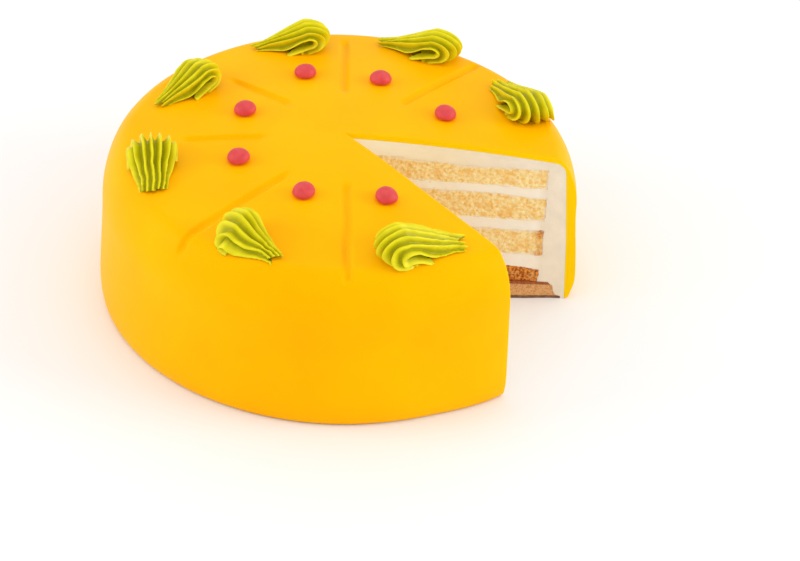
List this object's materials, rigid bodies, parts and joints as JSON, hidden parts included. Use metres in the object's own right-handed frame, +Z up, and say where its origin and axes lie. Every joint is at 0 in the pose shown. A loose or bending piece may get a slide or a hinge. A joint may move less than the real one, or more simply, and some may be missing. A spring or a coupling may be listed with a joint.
{
  "type": "passion fruit torte",
  "caption": "Round layered sponge and cream torte under a smooth yellow cover, piped green shells and pink sugar drops on top, one portion taken out.",
  "frame": {"origin": "on the torte's axis at its flat underside", "axes": "+Z up through the layers; +X along one of the two cut faces, from the middle to the rim, the missing portion lying between +X and 45 degrees towards -Y"},
  "size_m": [0.2635, 0.2635, 0.11],
  "materials": {
    "cover": "smooth icing with a soft sheen",
    "cream": "whipped cream, satin",
    "sponge": "porous crumb, matt",
    "biscuit": "crumbly short biscuit, matt",
    "jam": "thin jam, moist",
    "chocolate": "dark couverture, satin",
    "shell": "piped cream, slightly glossy",
    "drop": "sugar, slightly glossy"
  },
  "bodies": {
    "root": {"chocolate_coat": "chocolate", "biscuit_base": "biscuit", "jam_layer": "jam", "sponge_4": "sponge", "sponge_3": "sponge", "sponge_2": "sponge", "sponge_1": "sponge", "cream_filling": "cream", "yellow_cover": "cover", "piped_shell_1": "shell", "piped_shell_2": "shell", "piped_shell_3": "shell", "piped_shell_4": "shell", "piped_shell_5": "shell", "piped_shell_6": "shell", "piped_shell_7": "shell", "sugar_drop_1": "drop", "sugar_drop_2": "drop", "sugar_drop_3": "drop", "sugar_drop_4": "drop", "sugar_drop_5": "drop", "sugar_drop_6": "drop", "sugar_drop_7": "drop"}
  },
  "joints": []
}
